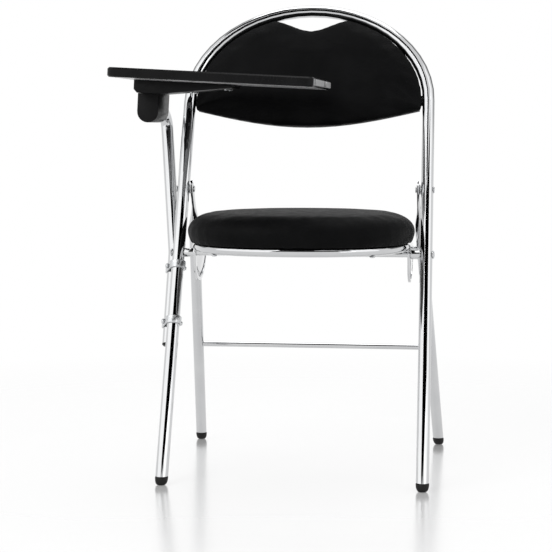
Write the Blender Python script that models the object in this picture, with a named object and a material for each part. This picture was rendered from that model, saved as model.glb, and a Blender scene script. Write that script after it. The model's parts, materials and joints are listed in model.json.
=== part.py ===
"""Folding visitor chair with a writing tablet: chrome tube frame, padded seat and back.

Metres, +Z up, the chair faces -Y. The mid plane of the chair is X = 0 and the front feet
stand on Y = 0 until the root empty shifts everything to the middle of the footprint.
"""
from math import atan2, cos, hypot, pi, radians, sin, sqrt, tan

import bmesh
import bpy
from mathutils import Matrix, Vector

# Clearances
GAP = 0.0003
RUNNING = 0.0004

# Front frame: one tube, legs and back arch in a plane that leans back
FRAME_DIA = 0.022
FRAME_WALL = 0.0015
FRAME_LEAN = radians(21.6)
FOOT_HALF_SPREAD = 0.221
ARCH_HALF_WIDTH = 0.215
ARCH_START = 0.6985
ARCH_RISE = 0.177

# Rear legs
LEG_DIA = 0.020
LEG_WALL = 0.0015
LEG_FLAT = 0.006
LEG_FLAT_WIDTH = 0.024
LEG_FLAT_RUN = 0.030
LEG_ROUND_RUN = 0.080
LEG_TIP = 0.014
LEG_PIVOT_RISE = 0.1105
LEG_WASHER = 0.001
LEG_WASHER_DIA = 0.017
REAR_FOOT_Y = 0.450
REAR_HALF_SPREAD = 0.230
STRETCHER_DIA = 0.010
STRETCHER_HEIGHT = 0.199
RIVET_DIA = 0.008
RIVET_HEAD_DIA = 0.012
RIVET_HEAD = 0.002

# Feet
FOOT_OVERHANG = 0.0004
FOOT_HEIGHT = 0.0145
FOOT_TREAD_DIA = 0.011
FOOT_STEM = 0.026
FOOT_BELLY = 0.80
FOOT_SHOULDER = 0.0018
FOOT_BREAK = 0.0012
STEM_BREAK = 0.002

# Seat axle, side plates and the slot that ties the seat to the rear legs
AXLE_DIA = 0.010
AXLE_HEIGHT = 0.3845
AXLE_NUT_DIA = 0.014
AXLE_NUT = 0.0035
BUSH_DIA = 0.016
PLATE = 0.004
PLATE_CLEAR = 0.0013
PLATE_RIM = 0.006
PLATE_HUB_DIA = 0.023
PIN_RISE = 0.004
PIN_DIA = 0.008
PIN_HEAD_DIA = 0.011
PIN_HEAD = 0.002
LEG_FOLD = radians(35.0)
SEAT_FOLD = radians(63.0)
SLOT_STEPS = 14

# Seat
RING_DIA = 0.016
RING_WALL = 0.0015
RING_RISE = 0.0135
RING_INSET = 0.019
RING_SEAM = 0.0005
SEAT_SET_BACK = 0.008
SEAT_SQUARENESS = 2.25
SEAT_TAPER = 0.10
PAN = 0.006
PAN_INSET = 0.020
CUSHION_TUCK = 0.011
CUSHION_SIDE_CLEAR = 0.0055
CUSHION_HALF_DEPTH = 0.195
CUSHION = 0.0495
CUSHION_CROWN = 0.004
CUSHION_SHOULDER = 0.028
CUSHION_TOP_RINGS = (0.70, 0.35)
CUSHION_PROFILE = ((CUSHION_TUCK, 0.0), (0.0044, 0.12), (0.001, 0.30), (0.0, 0.42),
                   (0.002, 0.57), (0.006, 0.71), (0.012, 0.84), (0.019, 0.94), (CUSHION_SHOULDER, 1.0))
SEAT_SCREW_DIA = 0.010
SEAT_SCREW = 0.003

# Back
BACK_CLEAR = 0.0008
BACK_CORNER = 0.680
BACK_SAG = 0.031
BACK_GRIP_HALF = 0.068
BACK_GRIP_DEPTH = 0.021
BACK_PAD = 0.021
BACK_CROWN = 0.007
BACK_PAD_REAR = 0.0026
BACK_PROFILE = ((0.985, 0.0), (0.996, 0.25), (1.0, 0.5), (0.992, 0.78), (0.965, 0.95), (0.92, 1.0))
BACK_TOP_RINGS = ((0.6, 0.7), (0.28, 1.0))
BOARD = 0.008
BOARD_INSET = 0.004
LUG = 0.003
LUG_HEIGHT = 0.024
LUG_REACH = 0.040
LUG_LEVELS = (0.705, 0.800)
BACK_SCREW_DIA = 0.010
BACK_SCREW = 0.003

# Tablet post and its two clamps on the left front leg
POST_DIA = 0.022
POST_WALL = 0.0015
POST_SIDE = 0.230
POST_BEHIND = 0.026
POST_FOOT_HEIGHT = 0.236
POST_KNEE_HEIGHT = 0.392
POST_ELBOW = 0.023
POST_KNEE = 0.120
POST_CAP = 0.004
CLAMP_HEIGHTS = (0.363, 0.269)
CLAMP_WIDTH = 0.013
CLAMP_BAND = 0.0025
CLAMP_BOLT_DIA = 0.0045
CLAMP_HEAD_DIA = 0.009
CLAMP_HEAD = 0.004

# Tablet
HINGE_X = -0.261
HINGE_Z = 0.631
HINGE_FRONT = 0.100
HINGE_LENGTH = 0.095
HINGE_FACE = 0.008
HINGE_HALF_WIDTH = 0.0185
ELBOW_Y = 0.268
TABLET_SAG = radians(3.0)
TABLET_LEFT = -0.040
TABLET_WIDTH = 0.343
TABLET_FRONT = -0.060
TABLET_DEPTH = 0.272
TABLET = 0.016
TABLET_CORNER = 0.015
TABLET_EDGE = 0.0025
TABLET_UNDER = 0.054
ARM_LENGTH = 0.170
ARM_THICK = 0.022
ARM_THIN = 0.006
ARM_FLAT = 0.045
ARM_OVERHANG = 0.008
ARM_BREAK = 0.006
TABLET_SCREW_DIA = 0.008
TABLET_SCREW = 0.0025
TABLET_SCREW_ROWS = (0.0715, 0.1315)

# Facets
TUBE_SIDES = 16
RING_SIDES = 12
ARCH_STEPS = 26
BEND_STEPS = 7
PLAN_STEPS = 40

# Shared places worked out from the sizes above
FRAME_R = FRAME_DIA / 2
LEAN_UP = Vector((0, sin(FRAME_LEAN), cos(FRAME_LEAN)))
LEAN_BACK = Vector((0, cos(FRAME_LEAN), -sin(FRAME_LEAN)))
SIDES = ((-1, "left"), (1, "right"))


def clear_scene():
    """Start from an empty scene."""
    for old in list(bpy.data.objects):
        bpy.data.objects.remove(old, do_unlink=True)


def make_material(name, colour, roughness, metallic=0.0):
    """A Principled material in one colour."""
    material = bpy.data.materials.new(name)
    material.use_nodes = True
    shader = material.node_tree.nodes["Principled BSDF"]
    shader.inputs["Base Color"].default_value = (*colour, 1.0)
    shader.inputs["Roughness"].default_value = roughness
    shader.inputs["Metallic"].default_value = metallic
    return material


def make_empty(name, place, parent=None):
    """An empty that carries the pieces of one body."""
    empty = bpy.data.objects.new(name, None)
    empty.location = place
    empty.parent = parent
    bpy.context.scene.collection.objects.link(empty)
    return empty


def make_object(name, mesh_data, material, parent, smooth=True):
    """Turn a bmesh into a named object. Its points are in the chair's own frame."""
    bmesh.ops.recalc_face_normals(mesh_data, faces=mesh_data.faces)
    mesh = bpy.data.meshes.new(name)
    mesh_data.to_mesh(mesh)
    mesh_data.free()
    if smooth:
        mesh.shade_smooth()
        mesh.set_sharp_from_angle(angle=radians(35))
    mesh.materials.append(material)
    piece = bpy.data.objects.new(name, mesh)
    bpy.context.scene.collection.objects.link(piece)
    mesh.transform(Matrix.Translation(-parent.location))
    piece.parent = parent
    return piece


def cut(piece, cutter_mesh):
    """Take a closed shape away from a piece, and apply the cut."""
    bmesh.ops.recalc_face_normals(cutter_mesh, faces=cutter_mesh.faces)
    mesh = bpy.data.meshes.new(piece.name + "_cutter")
    cutter_mesh.to_mesh(mesh)
    cutter_mesh.free()
    cutter = bpy.data.objects.new(piece.name + "_cutter", mesh)
    bpy.context.scene.collection.objects.link(cutter)
    mesh.transform(Matrix.Translation(-piece.parent.location))
    cutter.parent = piece.parent
    modifier = piece.modifiers.new("cut", "BOOLEAN")
    modifier.operation = "DIFFERENCE"
    modifier.solver = "EXACT"
    modifier.object = cutter
    depsgraph = bpy.context.evaluated_depsgraph_get()
    result = bpy.data.meshes.new_from_object(piece.evaluated_get(depsgraph))
    piece.modifiers.clear()
    piece.data = result
    bpy.data.objects.remove(cutter, do_unlink=True)


def frame_point(x, along, behind=0.0):
    """A point given across, up along and behind the leaning plane of the front frame."""
    return Vector((x, 0, 0)) + LEAN_UP * along + LEAN_BACK * behind


def along_at(height):
    """How far up the leaning plane a height lies."""
    return height / cos(FRAME_LEAN)


def leg_x(along):
    """Half the spread of the front legs at a distance up the frame."""
    return FOOT_HALF_SPREAD + (ARCH_HALF_WIDTH - FOOT_HALF_SPREAD) * along / ARCH_START


def arch_x(along, inset=0.0):
    """Half the width of the arch at a distance up the frame, drawn in by an inset."""
    if along <= ARCH_START:
        return leg_x(along) - inset
    share = min(1.0, (along - ARCH_START) / (ARCH_RISE - inset))
    return (ARCH_HALF_WIDTH - inset) * sqrt(1 - share * share)


def rounded_path(corners, radii, steps):
    """A polyline whose inner corners are arcs of the given radii."""
    path = [corners[0]]
    for before, corner, after, radius in zip(corners, corners[1:], corners[2:], radii):
        into = (before - corner).normalized()
        away = (after - corner).normalized()
        half = into.angle(away) / 2
        centre = corner + (into + away).normalized() * (radius / sin(half))
        first = corner + into * (radius / tan(half)) - centre
        last = corner + away * (radius / tan(half)) - centre
        sweep = first.angle(last)
        for step in range(steps + 1):
            share = step / steps
            weight = sin((1 - share) * sweep), sin(share * sweep)
            path.append(centre + (first * weight[0] + last * weight[1]) / sin(sweep))
    path.append(corners[-1])
    return path


def path_frames(path, side):
    """The direction and the two cross axes at each point of a path."""
    frames = []
    across = Vector(side)
    for index, point in enumerate(path):
        before = path[max(index - 1, 0)]
        after = path[min(index + 1, len(path) - 1)]
        ahead = (after - before).normalized()
        across = (across - ahead * across.dot(ahead)).normalized()
        frames.append((point, ahead, across, ahead.cross(across)))
    return frames


def sweep_rings(bm, path, radii, sides, side):
    """Rings of points along a path. Each radius is a pair, along both cross axes."""
    rings = []
    for (point, _, across, up), (wide, tall) in zip(path_frames(path, side), radii):
        ring = []
        for index in range(sides):
            angle = 2 * pi * index / sides
            ring.append(bm.verts.new(point + across * (wide * cos(angle)) + up * (tall * sin(angle))))
        rings.append(ring)
    return rings


def bridge(bm, ring_a, ring_b):
    """Join two rings with quads."""
    count = len(ring_a)
    for index in range(count):
        after = (index + 1) % count
        bm.faces.new((ring_a[index], ring_a[after], ring_b[after], ring_b[index]))


def level_end(ring, ahead, height):
    """Slide the points of an end ring along the tube to a level saw cut."""
    for vert in ring:
        vert.co += ahead * ((height - vert.co.z) / ahead.z)


def tube_mesh(path, radii, wall=0.0, sides=TUBE_SIDES, side=(1, 0, 0), level_start=None, level_stop=None):
    """A tube along a path, open at both ends, or a solid bar where the wall is zero."""
    bm = bmesh.new()
    pairs = [radii] * len(path) if isinstance(radii, tuple) else radii
    skins = [sweep_rings(bm, path, pairs, sides, side)]
    if wall:
        inner = [(wide - wall, tall - wall) for wide, tall in pairs]
        skins.append(sweep_rings(bm, path, inner, sides, side))
    for rings in skins:
        if level_start is not None:
            level_end(rings[0], (path[1] - path[0]).normalized(), level_start)
        if level_stop is not None:
            level_end(rings[-1], (path[-1] - path[-2]).normalized(), level_stop)
        for ring_a, ring_b in zip(rings, rings[1:]):
            bridge(bm, ring_a, ring_b)
    for end in (0, -1):
        if wall:
            bridge(bm, skins[0][end], skins[1][end])
        else:
            bm.faces.new(skins[0][end])
    return bm


def lathe(profile, sides=TUBE_SIDES, place=Matrix()):
    """Turn a profile of (radius, height) pairs about Z. A zero radius is a point."""
    bm = bmesh.new()
    rings = []
    for radius, height in profile:
        ring = []
        for index in range(sides if radius else 1):
            angle = 2 * pi * index / sides
            ring.append(bm.verts.new(place @ Vector((radius * cos(angle), radius * sin(angle), height))))
        rings.append(ring)
    for ring_a, ring_b in zip(rings, rings[1:]):
        if len(ring_a) == 1 or len(ring_b) == 1:
            tip, ring = (ring_a, ring_b) if len(ring_a) == 1 else (ring_b, ring_a)
            for index in range(sides):
                bm.faces.new((tip[0], ring[index], ring[(index + 1) % sides]))
        else:
            bridge(bm, ring_a, ring_b)
    for ring in (rings[0], rings[-1]):
        if len(ring) > 1:
            bm.faces.new(ring)
    return bm


def turn_to(place, direction):
    """A matrix that carries the Z axis to a place and a direction."""
    turn = Vector((0, 0, 1)).rotation_difference(Vector(direction)).to_matrix().to_4x4()
    return Matrix.Translation(place) @ turn


def dome(diameter, height):
    """The profile of a low domed head, from its seat to its crown."""
    radius = diameter / 2
    return [(radius, 0), (radius, height * 0.35), (radius * 0.72, height * 0.82), (0, height)]


def rod_cutter(start, stop, diameter, sides=TUBE_SIDES):
    """A round cutter between two points."""
    length = (stop - start).length
    profile = [(diameter / 2, 0), (diameter / 2, length)]
    return lathe(profile, sides, turn_to(start, (stop - start).normalized()))


def prism(outline, thickness, place):
    """Extrude a flat outline of (x, y) pairs along Z, then place it."""
    bm = bmesh.new()
    rings = []
    for height in (0, thickness):
        rings.append([bm.verts.new(place @ Vector((x, y, height))) for x, y in outline])
    bridge(bm, rings[0], rings[1])
    for ring in rings:
        bm.faces.new(ring)
    return bm


def hull_outline(circles, steps=16):
    """The convex outline round a set of circles given as (x, y, radius)."""
    points = []
    for x, y, radius in circles:
        for index in range(steps):
            angle = 2 * pi * index / steps
            points.append((x + radius * cos(angle), y + radius * sin(angle)))
    points.sort()
    outline = []
    for run in (points, points[::-1]):
        chain = []
        for point in run:
            while len(chain) > 1 and turns_right(chain[-2], chain[-1], point):
                chain.pop()
            chain.append(point)
        outline += chain[:-1]
    return outline


def turns_right(a, b, c):
    """True where the path a, b, c does not turn left."""
    return (b[0] - a[0]) * (c[1] - a[1]) - (b[1] - a[1]) * (c[0] - a[0]) <= 1e-12


def band_outline(path, half_width, cap_steps=6):
    """The outline of a slot of constant width along a flat path."""
    left, right = [], []
    headings = []
    for index in range(len(path)):
        before = path[max(index - 1, 0)]
        after = path[min(index + 1, len(path) - 1)]
        headings.append(atan2(after[1] - before[1], after[0] - before[0]))
    for (x, y), heading in zip(path, headings):
        left.append((x - half_width * sin(heading), y + half_width * cos(heading)))
        right.append((x + half_width * sin(heading), y - half_width * cos(heading)))
    outline = list(right)
    for end, heading, arm in ((path[-1], headings[-1], -pi / 2), (path[0], headings[0], pi / 2)):
        for step in range(1, cap_steps):
            angle = heading + arm + pi * step / cap_steps
            outline.append((end[0] + half_width * cos(angle), end[1] + half_width * sin(angle)))
        if arm < 0:
            outline += left[::-1]
    return outline


def oval(half_width, half_depth, steps=PLAN_STEPS):
    """The squared oval of the seat in plan, as (x, y) pairs round its centre."""
    points = []
    for index in range(steps):
        angle = 2 * pi * index / steps
        power = 2 / SEAT_SQUARENESS
        x = abs(cos(angle)) ** power * (1 if cos(angle) >= 0 else -1)
        y = abs(sin(angle)) ** power * (1 if sin(angle) >= 0 else -1)
        taper = 1 - SEAT_TAPER * max(0.0, y)
        points.append((half_width * x * taper, half_depth * y))
    return points


# Where the two folding axes lie
LEG_PIVOT_HEIGHT = AXLE_HEIGHT + LEG_PIVOT_RISE
LEG_PIVOT = frame_point(0, along_at(LEG_PIVOT_HEIGHT))
AXLE = frame_point(0, along_at(AXLE_HEIGHT))
LEG_SWING = atan2(REAR_FOOT_Y - LEG_PIVOT.y, LEG_PIVOT.z)
PIVOT_FACE = leg_x(along_at(LEG_PIVOT_HEIGHT)) - FRAME_R
LEG_TOP_X = PIVOT_FACE - LEG_WASHER - 2 * GAP - LEG_FLAT / 2
PIN_REACH = (LEG_PIVOT_RISE - PIN_RISE) / cos(LEG_SWING)

# The seat fills the width that the frame leaves it
PLATE_OUT = LEG_TOP_X - LEG_DIA / 2 - PLATE_CLEAR
CUSHION_HALF_WIDTH = leg_x(along_at(AXLE_HEIGHT)) - FRAME_R - CUSHION_SIDE_CLEAR
PAN_HALF_WIDTH = CUSHION_HALF_WIDTH - PAN_INSET
PAN_HALF_DEPTH = CUSHION_HALF_DEPTH - PAN_INSET
RING_HALF_WIDTH = CUSHION_HALF_WIDTH - RING_INSET
RING_HALF_DEPTH = CUSHION_HALF_DEPTH - RING_INSET


def leg_point(side, down):
    """A point on a rear leg's axis, a distance down from its pivot."""
    run = hypot(REAR_FOOT_Y - LEG_PIVOT.y, LEG_PIVOT.z)
    share = max(0.0, (down - LEG_FLAT_RUN) / (run - LEG_FLAT_RUN))
    x = LEG_TOP_X + (REAR_HALF_SPREAD - LEG_TOP_X) * share
    return LEG_PIVOT + Vector((side * x, sin(LEG_SWING) * down, -cos(LEG_SWING) * down))


def pin_in_seat(share):
    """Where the rear leg's pin lies in the seat, at a share of the fold."""
    swing = LEG_SWING - LEG_FOLD * share
    y = LEG_PIVOT.y + PIN_REACH * sin(swing) - AXLE.y
    z = LEG_PIVOT.z - PIN_REACH * cos(swing) - AXLE.z
    turn = SEAT_FOLD * share
    return (y * cos(turn) + z * sin(turn), z * cos(turn) - y * sin(turn))


def make_front_frame(root, chrome):
    """The bent tube that makes the front legs and the back arch."""
    half = []
    for step in range(ARCH_STEPS // 2 + 1):
        angle = pi / 2 * step / (ARCH_STEPS // 2)
        half.append((ARCH_HALF_WIDTH * cos(angle), ARCH_START + ARCH_RISE * sin(angle)))
    foot = along_at(FOOT_HEIGHT)
    mid = [along_at(height) for height in (AXLE_HEIGHT, LEG_PIVOT_HEIGHT)]
    leg = [(leg_x(along), along) for along in (foot, mid[0], mid[1])]
    right = leg + half
    outline = [(-x, along) for x, along in right] + right[-2::-1]
    path = [frame_point(x, along) for x, along in outline]
    bm = tube_mesh(path, (FRAME_R, FRAME_R), FRAME_WALL, side=LEAN_BACK,
                   level_start=FOOT_HEIGHT, level_stop=FOOT_HEIGHT)
    frame = make_object("front_frame", bm, chrome, root)
    for place, diameter in ((LEG_PIVOT, RIVET_DIA), (AXLE, AXLE_DIA)):
        for side in (-1, 1):
            centre = leg_x(place.z / cos(FRAME_LEAN))
            reach = Vector((FRAME_DIA, 0, 0))
            middle = place + Vector((side * centre, 0, 0))
            cut(frame, rod_cutter(middle - reach, middle + reach, diameter + 2 * RUNNING))


def make_foot(name, top, lean, tube_dia, wall, parent, rubber):
    """A moulded foot: a domed tread with a flat underside and a stem up the tube."""
    radius = tube_dia / 2 + FOOT_OVERHANG
    tread = FOOT_TREAD_DIA / 2
    stem = tube_dia / 2 - wall - RUNNING
    profile = [(tread, 0)]
    for step in range(1, 5):
        angle = pi / 2 * step / 4
        height = FOOT_HEIGHT * FOOT_BELLY * (1 - cos(angle))
        profile.append((tread + (radius - tread) * sin(angle), height))
    profile += [(radius, FOOT_HEIGHT - FOOT_SHOULDER), (radius - FOOT_BREAK, FOOT_HEIGHT - GAP)]
    profile += [(stem, FOOT_HEIGHT - GAP), (stem, FOOT_HEIGHT + FOOT_STEM - STEM_BREAK)]
    profile += [(stem - STEM_BREAK, FOOT_HEIGHT + FOOT_STEM)]
    bm = lathe(profile)
    for vert in bm.verts:
        vert.co += Vector((lean[0], lean[1], 0)) * (vert.co.z - FOOT_HEIGHT)
    bmesh.ops.translate(bm, verts=bm.verts, vec=Vector((top.x, top.y, 0)))
    make_object(name, bm, rubber, parent)


def make_feet(root, rear, rubber):
    """Two front feet on the frame and two rear feet on the rear legs."""
    along = along_at(FOOT_HEIGHT)
    front_lean = (leg_x(1.0) - leg_x(0.0)) / cos(FRAME_LEAN)
    for side, word in SIDES:
        top = frame_point(side * leg_x(along), along)
        lean = (side * front_lean, tan(FRAME_LEAN))
        make_foot("foot_front_" + word, top, lean, FRAME_DIA, FRAME_WALL, root, rubber)
        down = (LEG_PIVOT.z - FOOT_HEIGHT) / cos(LEG_SWING)
        top = leg_point(side, down)
        ahead = leg_point(side, LEG_ROUND_RUN) - top
        lean = (ahead.x / ahead.z, ahead.y / ahead.z)
        make_foot("foot_rear_" + word, top, lean, LEG_DIA, LEG_WALL, rear, rubber)


def make_rear_legs(rear, chrome):
    """Two tubes flattened at the top, where a rivet carries them."""
    down = (LEG_PIVOT.z - FOOT_HEIGHT) / cos(LEG_SWING)
    places = [-LEG_TIP, -LEG_TIP * 0.4, LEG_FLAT_RUN]
    places += [LEG_FLAT_RUN + (LEG_ROUND_RUN - LEG_FLAT_RUN) * step / 4 for step in range(1, 5)]
    places += [PIN_REACH, down]
    radii = []
    for place in places:
        share = min(1.0, max(0.0, (place - LEG_FLAT_RUN) / (LEG_ROUND_RUN - LEG_FLAT_RUN)))
        ease = share * share * (3 - 2 * share)
        thick = LEG_FLAT + (LEG_DIA - LEG_FLAT) * ease
        wide = LEG_FLAT_WIDTH + (LEG_DIA - LEG_FLAT_WIDTH) * ease
        if place == places[0]:
            wide *= 0.72
        radii.append((thick / 2, wide / 2))
    for side, word in SIDES:
        path = [leg_point(side, place) for place in places]
        bm = tube_mesh(path, radii, LEG_WALL, level_stop=FOOT_HEIGHT)
        leg = make_object("rear_leg_" + word, bm, chrome, rear)
        middle = leg_point(side, 0)
        reach = Vector((LEG_FLAT, 0, 0))
        cut(leg, rod_cutter(middle - reach, middle + reach, RIVET_DIA + 2 * RUNNING))
        middle = leg_point(side, PIN_REACH)
        inward = Vector((-side * LEG_DIA, 0, 0))
        cut(leg, rod_cutter(middle, middle + inward, PIN_DIA + 2 * RUNNING))


def make_stretcher(rear, chrome):
    """The thin bar between the rear legs, cut to their round sides."""
    down = (LEG_PIVOT.z - STRETCHER_HEIGHT) / cos(LEG_SWING)
    ends = [leg_point(side, down) for side in (-1, 1)]
    bm = tube_mesh(ends, (STRETCHER_DIA / 2, STRETCHER_DIA / 2), side=(0, 1, 0), sides=RING_SIDES)
    bar = make_object("rear_stretcher", bm, chrome, rear)
    for side in (-1, 1):
        start, stop = leg_point(side, down - LEG_DIA * 2), leg_point(side, down + LEG_DIA * 2)
        cut(bar, rod_cutter(start, stop, LEG_DIA + 2 * GAP))


def make_leg_pivots(root, steel):
    """Rivets through the flattened leg tops and the frame, with a washer between."""
    outer = leg_x(along_at(LEG_PIVOT_HEIGHT)) + FRAME_R
    inner = LEG_TOP_X - LEG_FLAT / 2
    for side, word in SIDES:
        shank = RIVET_DIA / 2
        start, stop = inner - GAP, outer + GAP
        crown = dome(RIVET_HEAD_DIA, RIVET_HEAD)
        profile = [(radius, start - height) for radius, height in crown[::-1]]
        profile += [(shank, start), (shank, stop)]
        profile += [(radius, stop + height) for radius, height in crown]
        bm = lathe(profile, RING_SIDES, turn_to(LEG_PIVOT, (side, 0, 0)))
        make_object("leg_rivet_" + word, bm, steel, root)
        bore = shank + RUNNING
        rim = LEG_WASHER_DIA / 2
        low = PIVOT_FACE - GAP - LEG_WASHER
        high = PIVOT_FACE - GAP
        ring = [(bore, low), (rim, low), (rim, high), (bore, high)]
        washer = collar(ring, turn_to(LEG_PIVOT, (side, 0, 0)))
        make_object("leg_washer_" + word, washer, steel, root)


def collar(ring, place):
    """Turn a closed ring section about Z."""
    bm = bmesh.new()
    rings = []
    for radius, height in ring:
        points = []
        for index in range(TUBE_SIDES):
            angle = 2 * pi * index / TUBE_SIDES
            points.append(bm.verts.new(place @ Vector((radius * cos(angle), radius * sin(angle), height))))
        rings.append(points)
    for ring_a, ring_b in zip(rings, rings[1:] + rings[:1]):
        bridge(bm, ring_a, ring_b)
    return bm


def make_seat_axle(root, chrome, steel):
    """The rod that the seat turns on, with a bush at each leg and a cap nut outside."""
    frame_x = leg_x(along_at(AXLE_HEIGHT))
    end = frame_x + FRAME_R
    path = [AXLE + Vector((x, 0, 0)) for x in (-end, end)]
    bm = tube_mesh(path, (AXLE_DIA / 2, AXLE_DIA / 2), side=(0, 1, 0), sides=RING_SIDES)
    make_object("seat_axle", bm, chrome, root)
    for side, word in SIDES:
        place = turn_to(AXLE, (side, 0, 0))
        bore = AXLE_DIA / 2 + RUNNING
        low, high = PLATE_OUT + GAP, frame_x - FRAME_R - GAP
        rim = BUSH_DIA / 2
        bush = collar([(bore, low), (rim, low), (rim, high), (bore, high)], place)
        make_object("seat_bush_" + word, bush, chrome, root)
        seat = turn_to(AXLE + Vector((side * (end + GAP), 0, 0)), (side, 0, 0))
        nut = lathe(dome(AXLE_NUT_DIA, AXLE_NUT), RING_SIDES, seat)
        make_object("axle_nut_" + word, nut, steel, root)


def ring_path(open_gap):
    """The seat ring's centre line, with its seam at the back."""
    centre = AXLE + Vector((0, SEAT_SET_BACK, RING_RISE))
    points = oval(RING_HALF_WIDTH, RING_HALF_DEPTH)
    start = PLAN_STEPS // 4
    turned = points[start:] + points[:start]
    path = [centre + Vector((x, y, 0)) for x, y in turned]
    back = path[0]
    path[0] = back - Vector((open_gap / 2, 0, 0))
    path.append(back + Vector((open_gap / 2, 0, 0)))
    return path


def make_seat_metal(seat, chrome):
    """The seat's tube ring and the two slotted plates that hang from it."""
    radius = RING_DIA / 2
    bm = tube_mesh(ring_path(RING_SEAM), (radius, radius), RING_WALL, RING_SIDES, (0, 0, 1))
    make_object("seat_ring", bm, chrome, seat)
    route = [pin_in_seat(step / SLOT_STEPS) for step in range(SLOT_STEPS + 1)]
    slot = PIN_DIA / 2 + RUNNING
    circles = [(y, z, slot + PLATE_RIM) for y, z in route] + [(0, 0, PLATE_HUB_DIA / 2)]
    axes = Matrix(((0, 0, 1, 0), (1, 0, 0, 0), (0, 1, 0, 0), (0, 0, 0, 1)))
    for side, word in SIDES:
        low = PLATE_OUT - PLATE if side > 0 else -PLATE_OUT
        place = Matrix.Translation(AXLE + Vector((low, 0, 0))) @ axes
        plate = make_object("seat_plate_" + word, prism(hull_outline(circles), PLATE, place), chrome, seat)
        past = Matrix.Translation(AXLE + Vector((low - PLATE, 0, 0))) @ axes
        cut(plate, prism(band_outline(route, slot), 3 * PLATE, past))
        start = AXLE + Vector((low - PLATE, 0, 0))
        cut(plate, rod_cutter(start, start + Vector((3 * PLATE, 0, 0)), AXLE_DIA + 2 * RUNNING))
        clear = radius + GAP
        cut(plate, tube_mesh(ring_path(RING_DIA), (clear, clear), 0.0, RING_SIDES, (0, 0, 1)))


def make_slot_pins(rear, steel):
    """A shouldered pin on each rear leg that runs in the seat plate's slot."""
    for side, word in SIDES:
        middle = leg_point(side, PIN_REACH)
        radius = PIN_DIA / 2
        head = PIN_HEAD_DIA / 2
        face = abs(middle.x)
        inner = PLATE_OUT - PLATE - RUNNING
        profile = [(radius, 0), (radius, face - inner), (head, face - inner)]
        profile += [(head, face - inner + PIN_HEAD * 0.6), (head * 0.7, face - inner + PIN_HEAD)]
        bm = lathe(profile, RING_SIDES, turn_to(middle, (-side, 0, 0)))
        make_object("slot_pin_" + word, bm, steel, rear)


def make_cushion(name, bm_rings, parent, fabric):
    """Close a stack of plan rings into one padded body."""
    bm = bmesh.new()
    rings = [[bm.verts.new(point) for point in ring] for ring in bm_rings]
    for ring_a, ring_b in zip(rings, rings[1:]):
        bridge(bm, ring_a, ring_b)
    bm.faces.new(rings[0])
    middle = sum((vert.co for vert in rings[-1]), Vector()) / len(rings[-1])
    tip = bm.verts.new(middle)
    count = len(rings[-1])
    for index in range(count):
        bm.faces.new((tip, rings[-1][index], rings[-1][(index + 1) % count]))
    return make_object(name, bm, fabric, parent)


def make_seat_pad(seat, wood, fabric, steel):
    """The seat's plywood pan, the crowned cushion that wraps it and the screws that hold the ring."""
    ring_top = AXLE.z + RING_RISE + RING_DIA / 2
    centre = Vector((0, AXLE.y + SEAT_SET_BACK, 0))
    plan = oval(PAN_HALF_WIDTH, PAN_HALF_DEPTH)
    bm = prism(plan, PAN, Matrix.Translation(centre + Vector((0, 0, ring_top + GAP))))
    make_object("seat_pan", bm, wood, seat)
    base = ring_top + GAP
    rings = []
    for inset, share in CUSHION_PROFILE:
        points = oval(CUSHION_HALF_WIDTH - inset, CUSHION_HALF_DEPTH - inset)
        rings.append([centre + Vector((x, y, base + CUSHION * share)) for x, y in points])
    flat_width = CUSHION_HALF_WIDTH - CUSHION_SHOULDER
    flat_depth = CUSHION_HALF_DEPTH - CUSHION_SHOULDER
    for share in CUSHION_TOP_RINGS:
        points = oval(flat_width * share, flat_depth * share)
        height = base + CUSHION + CUSHION_CROWN * (1 - share * share)
        rings.append([centre + Vector((x, y, height)) for x, y in points])
    cushion = make_cushion("seat_cushion", rings, seat, fabric)
    pocket = oval(PAN_HALF_WIDTH + GAP, PAN_HALF_DEPTH + GAP)
    below = Matrix.Translation(centre + Vector((0, 0, base - PAN)))
    cut(cushion, prism(pocket, 2 * PAN + GAP, below))
    under = ring_top - RING_DIA - GAP
    spots = oval(RING_HALF_WIDTH, RING_HALF_DEPTH)[PLAN_STEPS // 8::PLAN_STEPS // 4]
    for index, (x, y) in enumerate(spots):
        place = turn_to(centre + Vector((x, y, under)), (0, 0, -1))
        screw = lathe(dome(SEAT_SCREW_DIA, SEAT_SCREW), RING_SIDES, place)
        make_object(f"seat_screw_{index + 1}", screw, steel, seat)


def back_outline(inset):
    """The back panel's outline in the frame plane, as (x, along) pairs."""
    edge = FRAME_R + BACK_CLEAR + inset
    grip = BACK_GRIP_HALF
    half_width = ARCH_HALF_WIDTH - edge
    rise = ARCH_RISE - edge
    right = [(arch_x(BACK_CORNER, edge), BACK_CORNER + inset)]
    last = atan2(sqrt(1 - (grip / half_width) ** 2), grip / half_width)
    steps = 11
    for step in range(steps + 1):
        angle = last * step / steps
        right.append((half_width * cos(angle), ARCH_START + rise * sin(angle)))
    top = right[-1][1]
    for step in range(1, 5):
        x = grip * (1 - step / 5)
        right.append((x, top - BACK_GRIP_DEPTH * (0.5 + 0.5 * cos(pi * x / grip))))
    middle = [(0, top - BACK_GRIP_DEPTH)]
    low = []
    corner = right[0][0]
    for step in range(1, 8):
        x = corner * (1 - step / 8)
        low.append((x, BACK_CORNER + inset - BACK_SAG * cos(pi / 2 * x / corner)))
    left = [(-x, along) for x, along in right[::-1]]
    bottom = [(-x, along) for x, along in low] + [(0, BACK_CORNER + inset - BACK_SAG)] + low[::-1]
    return right + middle + left + bottom


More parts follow.
